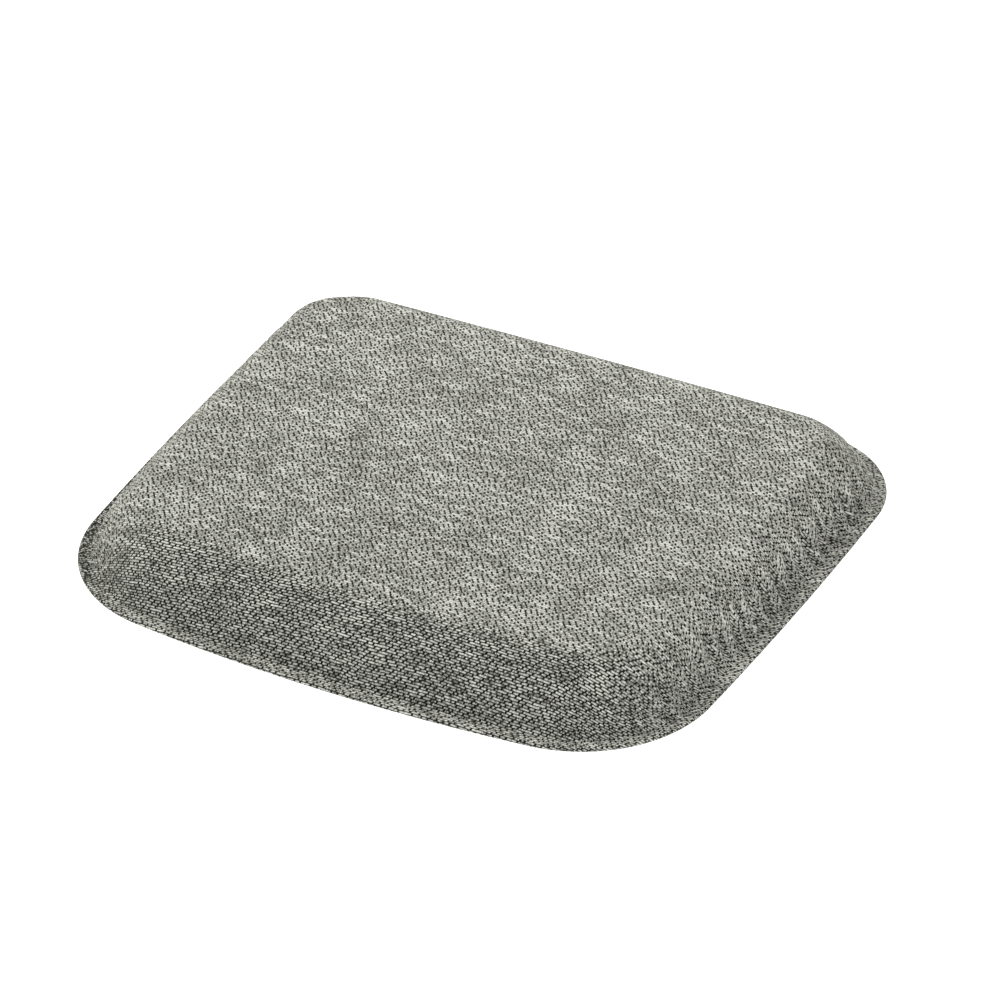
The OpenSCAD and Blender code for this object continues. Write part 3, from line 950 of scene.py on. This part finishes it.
def dot_rubber():
    s = Shader("dot_rubber")
    place, _ = millimetres(s)
    skin = s.noise(place, 0.9, 4.0, 0.6)
    rubbed = s.ease(s.noise(place, 0.08, 3.0), 0.45, 0.75)
    s.bump(skin, 0.00006, 0.5)
    colour = s.colour(rubbed, (0.012, 0.012, 0.013, 1), (0.035, 0.035, 0.034, 1))
    return finish_surface(s, colour, s.between(rubbed, 0.38, 0.62), 0.5)


def sewing_thread(name, dark, light):
    s = Shader(name)
    place, split = millimetres(s)
    run = s.math("ADD", s.math("ADD", split["X"], split["Y"]), s.math("MULTIPLY", split["Z"], 2.0))
    ply = s.math("SINE", s.math("MULTIPLY", run, 11.0))
    fuzz = s.noise(place, 7.0, 3.0, 0.7)
    # The ply stripes in the tone are painted light and shade on the twist, over a fuzz tone.
    tone = s.math("MULTIPLY_ADD", ply, 0.25, fuzz)
    s.bump(tone, 0.00005, 0.8)
    s.surface.inputs["Sheen Weight"].default_value = 0.2
    return finish_surface(s, s.colour(s.ease(tone, 0.2, 0.8), dark, light),
                          s.between(fuzz, 0.45, 0.7), 0.4)


def satin():
    """Blank satin ribbon: fine ribs across it and a soft shine."""
    s = Shader("ribbon_satin")
    place, split = millimetres(s)
    ribs = s.math("SINE", s.math("MULTIPLY", split["Y"], 14.0))
    fuzz = s.noise(s.point(s.math("MULTIPLY", split["X"], 0.2), split["Y"]), 4.0, 3.0)
    cloud = s.noise(place, 0.12, 2.0)
    s.bump(s.math("MULTIPLY_ADD", ribs, 0.3, fuzz), 0.00004, 0.7)
    # The ribs make the tone lighter and darker across the ribbon: painted light and shade, over
    # cloud and fuzz tone.
    tone = s.math("MULTIPLY_ADD", ribs, 0.12, s.math("MULTIPLY_ADD", cloud, 0.5, fuzz))
    colour = s.colour(s.ease(tone, 0.3, 1.1), (0.74, 0.74, 0.71, 1), (0.90, 0.90, 0.88, 1))
    return finish_surface(s, colour, s.between(fuzz, 0.30, 0.48), 0.5)


# ----------------------------------------------------------------------------------------
# Pieces

face = Face()
face.settle()
normals = grid_normals(face.grid)
cover = build_cover(face, normals)
finish_piece(cover, woven_cloth(), "cover_fabric", "top_cover")

lining_depth = COVER_T + LAYER_GAP
foam_depth = lining_depth + LINING_T + LAYER_GAP
lining = layer_skin("wadding", face.grid, normals, lining_depth, lining_depth + LINING_T)
finish_piece(lining, wadding(), "lining_wadding", "cover_lining")
foam = layer_skin("foam", face.grid, normals, foam_depth)
finish_piece(foam, open_foam(), "foam", "foam_core")

felt = flat_sheet("felt", SHEET_INSET, SHEET_Z, RIM_Z)
finish_piece(felt, needled_felt(), "felt", "base_sheet")
panel = flat_sheet("panel", PANEL_INSET, PANEL_Z, SHEET_Z, panel_droop)
finish_piece(panel, base_textile(), "base_textile", "base_panel")

finish_piece(build_dots(), dot_rubber(), "grip_rubber", "grip_dots")
grey_thread = sewing_thread("grey_thread", (0.22, 0.22, 0.20, 1), (0.56, 0.56, 0.52, 1))
finish_piece(build_hem_stitches(), grey_thread, "thread", "hem_stitches")
finish_piece(build_overlock(), grey_thread, "thread", "hem_overlock")
finish_piece(build_label(), satin(), "label_satin", "care_label")
white_thread = sewing_thread("white_thread", (0.38, 0.38, 0.36, 1), (0.75, 0.75, 0.72, 1))
finish_piece(build_label_stitches(), white_thread, "label_thread", "label_stitches")

# ----------------------------------------------------------------------------------------
# Camera, floor and light

AZIMUTH, ELEVATION = 27.26, 34.12
DISTANCE = 2.826
AIM_RIGHT, AIM_UP = 0.0170, 0.0163
LENS = 161.8
FLOOR_REACH = 30.0


def view_axes():
    a, e = math.radians(AZIMUTH), math.radians(ELEVATION)
    right = Vector((math.cos(a), math.sin(a), 0))
    back = Vector((math.sin(a) * math.cos(e), -math.cos(a) * math.cos(e), math.sin(e)))
    return right, back.cross(right), back


def add_camera():
    right, up, back = view_axes()
    data = bpy.data.cameras.new("camera")
    data.lens = LENS
    camera = bpy.data.objects.new("camera", data)
    bpy.context.scene.collection.objects.link(camera)
    camera.location = right * AIM_RIGHT + up * AIM_UP + back * DISTANCE
    camera.rotation_euler = back.to_track_quat("Z", "Y").to_euler()
    bpy.context.scene.camera = camera


def add_area(name, place, size, power, colour=(1, 1, 1)):
    data = bpy.data.lights.new(name, "AREA")
    data.shape = "DISK"
    data.size = size
    data.energy = power
    data.color = colour
    light = bpy.data.objects.new(name, data)
    bpy.context.scene.collection.objects.link(light)
    light.location = place
    light.rotation_euler = Vector(place).to_track_quat("Z", "Y").to_euler()


def add_floor():
    s = Shader("pale_floor")
    s.surface.inputs["Base Color"].default_value = (0.6, 0.6, 0.6, 1)
    s.surface.inputs["Roughness"].default_value = 0.9
    s.surface.inputs["Emission Color"].default_value = (1, 1, 1, 1)
    s.surface.inputs["Emission Strength"].default_value = 1.0
    corners = [(x * FLOOR_REACH, y * FLOOR_REACH, COVER_LOW.z)
               for x, y in ((-1, -1), (1, -1), (1, 1), (-1, 1))]
    floor = add_mesh("floor", corners, [(0, 1, 2, 3)], rounded=False)
    floor.data.materials.append(s.material)


def add_sky(strength):
    world = bpy.data.worlds.new("studio")
    world.use_nodes = True
    world.node_tree.nodes["Background"].inputs["Color"].default_value = (1, 1, 1, 1)
    world.node_tree.nodes["Background"].inputs["Strength"].default_value = strength
    bpy.context.scene.world = world


add_camera()
add_floor()
add_sky(0.40)
add_area("back_key", (-0.5, 1.2, 2.0), 1.0, 50)
add_area("front_fill", (0.7, -2.2, 1.2), 1.0, 13)
add_area("right_fill", (2.2, 0.2, 0.9), 1.0, 7)
add_area("left_fill", (-2.2, -0.9, 0.9), 1.0, 10, (1.0, 0.98, 0.9))
bpy.context.scene.view_settings.view_transform = "Standard"
